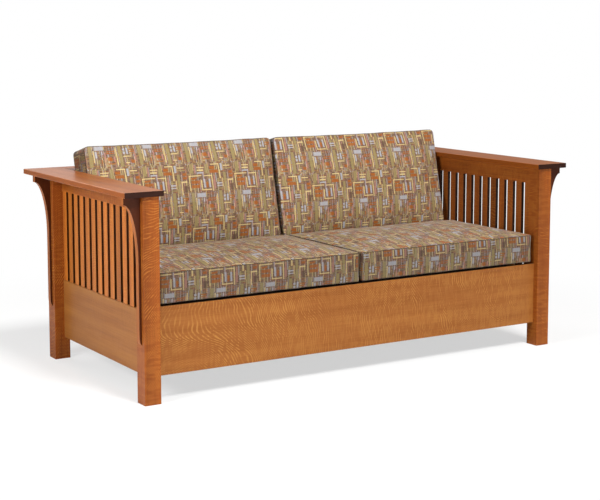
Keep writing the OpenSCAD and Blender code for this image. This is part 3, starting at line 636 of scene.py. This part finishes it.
# Woven blocks and lines in one repeat of the cloth: left, bottom, width, height in mm, and yarn
BLOCKS = [
    (8, 4, 15, 84, OLIVE), (26, 22, 4, 46, CREAM), (34, 70, 38, 15, BLUE), (34, 40, 8, 24, BLUE),
    (48, 46, 6, 6, OLIVE), (48, 58, 6, 6, OLIVE), (60, 52, 6, 12, BLUE), (44, 16, 6, 16, OLIVE),
    (56, 16, 6, 16, RUST), (72, 26, 5, 34, PINK), (82, 62, 34, 4, RUST), (82, 54, 34, 4, RUST),
    (84, 26, 18, 15, RUST), (82, 12, 30, 4, RUST), (122, 8, 4, 72, CREAM), (108, 22, 6, 22, PINK),
    (132, 2, 14, 90, OLIVE), (150, 40, 30, 4, CREAM), (152, 66, 8, 8, BLUE), (152, 52, 8, 8, BLUE),
    (166, 50, 7, 26, BLUE), (180, 14, 16, 12, RUST), (178, 58, 22, 4, RUST), (178, 67, 22, 4, RUST),
    (198, 20, 5, 40, PINK), (156, 14, 18, 4, CREAM), (156, 22, 18, 4, OLIVE), (4, 96, 4, 60, CREAM),
    (4, 152, 58, 4, CREAM), (14, 106, 38, 12, RUST), (14, 123, 38, 12, RUST), (14, 140, 24, 6, RUST),
    (58, 96, 4, 40, CREAM), (58, 96, 44, 4, CREAM), (68, 106, 8, 34, BLUE), (80, 106, 8, 22, RUST),
    (92, 106, 8, 34, BLUE), (106, 92, 4, 62, CREAM), (72, 150, 38, 4, CREAM), (116, 100, 6, 56, PINK),
    (128, 98, 26, 4, OLIVE), (128, 108, 24, 5, BLUE), (128, 118, 24, 5, BLUE), (128, 128, 14, 5, OLIVE),
    (160, 88, 12, 74, OLIVE), (178, 84, 4, 50, CREAM), (178, 130, 26, 4, CREAM), (188, 92, 14, 24, UMBER),
    (186, 142, 18, 10, RUST), (186, 157, 18, 10, RUST), (12, 164, 13, 38, OLIVE), (32, 162, 5, 36, PINK),
    (44, 162, 30, 5, BLUE), (44, 172, 30, 5, CREAM), (44, 184, 34, 4, CREAM), (82, 160, 14, 40, OLIVE),
    (102, 162, 36, 11, RUST), (102, 178, 22, 11, RUST), (142, 138, 4, 58, CREAM), (108, 194, 38, 4, CREAM),
    (152, 170, 8, 28, BLUE), (166, 176, 34, 4, OLIVE), (166, 186, 30, 4, CREAM),
]
# Lines of the ground in one repeat: their width and height in mm, a seed, how few there are, and yarn
LINES = [((2.6, 23.4), 3.1, 0.84, OLIVE), ((2.6, 46.8), 71.3, 0.88, PINK), ((2.6, 36.4), 29.7, 0.9, BLUE),
         ((20.8, 2.6), 11.9, 0.84, OLIVE), ((15.6, 2.6), 47.1, 0.92, RUST), ((2.6, 33.8), 90.3, 0.92, CREAM)]


def jacquard(name):
    """Flat-woven furnishing cloth of blocks and lines: matt worsted yarn with a slight sheen."""
    made, tree, surface = fresh_material(name)
    layer = add(tree, "UVMap", {"uv_map": CLOTH_MAP})
    in_mm = add(tree, "VectorMath", {"operation": "SCALE"}, {0: layer, "Scale": 1000.0})
    # Every block ends on a whole yarn, 1.3 mm wide
    yarn = add(tree, "VectorMath", {"operation": "SNAP"}, {0: in_mm, 1: (1.3, 1.3, 1.0)})
    tile = add(tree, "VectorMath", {"operation": "MODULO"}, {0: add(tree, "VectorMath", {"operation": "ADD"},
               {0: yarn, 1: (REPEAT_W * 40, REPEAT_H * 40, 0)}), 1: (REPEAT_W, REPEAT_H, 1)})
    # Ground: close browns in streaks, crossed by short single lines of the other yarns
    weft = add(tree, "Mapping", None, {"Vector": yarn, "Scale": (0.05, 0.5, 1)})
    weft = add(tree, "TexNoise", None, {"Vector": weft, "Scale": 1.0, "Detail": 2.0, "Roughness": 0.7})
    weft = add(tree, "MapRange", None, {0: weft, 1: 0.42, 2: 0.6})
    colour = blend(tree, weft, linear(TAUPE), linear(UMBER))
    for cell, seed, few, shade in LINES:
        place = add(tree, "VectorMath", {"operation": "ADD"}, {0: tile, 1: (seed, seed * 0.7, 0)})
        place = add(tree, "VectorMath", {"operation": "SNAP"}, {0: place, 1: (cell[0], cell[1], 1.0)})
        dice = add(tree, "TexWhiteNoise", {"noise_dimensions": "2D"}, {"Vector": place})
        drawn = add(tree, "Math", {"operation": "GREATER_THAN"}, {0: dice, 1: few})
        drawn = times(tree, drawn, 0.5)
        colour = blend(tree, drawn, colour, linear(shade))
    for left, bottom, wide, tall, shade in BLOCKS:
        middle = (left + wide / 2, bottom + tall / 2, 0)
        off = add(tree, "VectorMath", {"operation": "SUBTRACT"}, {0: tile, 1: middle})
        off = add(tree, "VectorMath", {"operation": "ABSOLUTE"}, {0: off})
        off = add(tree, "VectorMath", {"operation": "SUBTRACT"}, {0: off, 1: (wide / 2, tall / 2, 0)})
        across, upward, _ = split_up(tree, off)
        off = add(tree, "Math", {"operation": "MAXIMUM"}, {0: across, 1: upward})
        inside = add(tree, "Math", {"operation": "LESS_THAN"}, {0: off, 1: 0.0})
        cover = times(tree, inside, 0.8)
        colour = blend(tree, cover, colour, linear(shade))
    dice = add(tree, "TexWhiteNoise", {"noise_dimensions": "2D"}, {"Vector": yarn})
    level = add(tree, "MapRange", None, {0: dice, 3: 0.84, 4: 1.12})
    colour = add(tree, "VectorMath", {"operation": "SCALE"}, {0: colour, "Scale": level})
    # Painted shade: the border strip of every cover is darkened to 0.56 of the rest, for the shade on the
    # cushions' upright sides under a high light
    strip = add(tree, "Attribute", {"attribute_name": "border_shade_mask"}, take=2)
    strip = add(tree, "MapRange", None, {0: strip, 3: 1.0, 4: 0.56})
    colour = add(tree, "VectorMath", {"operation": "SCALE"}, {0: colour, "Scale": strip})
    # Painted shade along the sunken seams: the colour goes towards near-black #2A2019 on the seam lines.
    seam = add(tree, "Attribute", {"attribute_name": "seam_line"}, take=2)
    seam = add(tree, "MapRange", None, {0: seam, 1: 0.35, 2: 0.8, 4: 0.92})
    colour = blend(tree, seam, colour, linear("#2A2019"))
    tree.links.new(colour, surface.inputs["Base Color"])
    surface.inputs["Roughness"].default_value = 0.82
    surface.inputs["Specular IOR Level"].default_value = 0.3
    surface.inputs["Sheen Weight"].default_value = 0.12
    surface.inputs["Sheen Roughness"].default_value = 0.4
    rib = add(tree, "TexVoronoi", {"voronoi_dimensions": "2D"},
              {"Vector": in_mm, "Scale": 0.55, "Randomness": 0.4})
    bump = add(tree, "Bump", {"invert": True}, {"Strength": 0.35, "Distance": 0.0006, "Height": rib})
    tree.links.new(bump, surface.inputs["Normal"])
    return made


cushion_cloth = jacquard("jacquard_cloth")
BORDER_SWELL, SIDE_PULL = 0.003, 0.003
# How much fuller a seat cover is on its outer side than its CAD solid
FULL = 0.008
seat_low, seat_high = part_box("seat_cushion_left")
seat_width = seat_high.x - seat_low.x - 2 * BORDER_SWELL + FULL
seat_depth = seat_high.y - seat_low.y - 2 * BORDER_SWELL
SEAT_BORDER, SEAT_CROWN, SEAT_CORNER = 0.112, 0.027, 0.016
for side, outward, shift in (("left", -1, (0.03, 0.05)), ("right", 1, (0.135, 0.02))):
    low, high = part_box("seat_cushion_" + side)
    piece, rest, moved, seam, face_uvs = boxed_cushion(
        "seat_cushion_" + side + "_cover", seat_width, seat_depth, SEAT_BORDER, SEAT_CROWN,
        SEAT_CORNER, SIDE_PULL, BORDER_SWELL)
    points = rest + moved + np.array([(low.x + high.x + outward * FULL) / 2, (low.y + high.y) / 2, low.z])
    finish_cushion(piece, points, seam, face_uvs, cushion_cloth, shift)
    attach(piece, side + "_seat_cushion")
    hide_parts("seat_cushion_" + side)

# Back cushions: thinner boxed cushions in the same cloth, standing on the ledge and leaning
# back against the cap, with fuller fronts and tops that slope down to the rear.
BACK_TALL, BACK_BORDER, BACK_CROWN, BACK_LEAN = 0.416, 0.110, 0.034, math.radians(12.6)
TOP_DROP, BACK_CORNER = 0.028, 0.021
# Where the foot of a back cushion's rear face stands, in metres behind the middle of the sofa
FOOT_Y = 0.252499
back_low, back_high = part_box("back_cushion_left")
back_width = back_high.x - back_low.x - 2 * BORDER_SWELL
LOW_Z = round(back_low.z, 6)
for side, shift in (("left", (0.0, 0.09)), ("right", (0.07, 0.16))):
    low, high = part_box("back_cushion_" + side)
    piece, rest, moved, seam, face_uvs = boxed_cushion(
        "back_cushion_" + side + "_cover", back_width, BACK_TALL - 2 * BORDER_SWELL, BACK_BORDER, BACK_CROWN,
        BACK_CORNER, SIDE_PULL, BORDER_SWELL)
    flat = rest + moved
    up = flat[:, 1] + BACK_TALL / 2
    out = flat[:, 2]
    points = np.stack([flat[:, 0] + (low.x + high.x) / 2,
                       FOOT_Y - out / math.cos(BACK_LEAN) + up * math.tan(BACK_LEAN),
                       LOW_Z + up * (1 - TOP_DROP / BACK_TALL * (1 - out / BACK_BORDER))], 1)
    finish_cushion(piece, points, seam, face_uvs, cushion_cloth, shift)
    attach(piece, side + "_back_cushion")
    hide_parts("back_cushion_" + side)
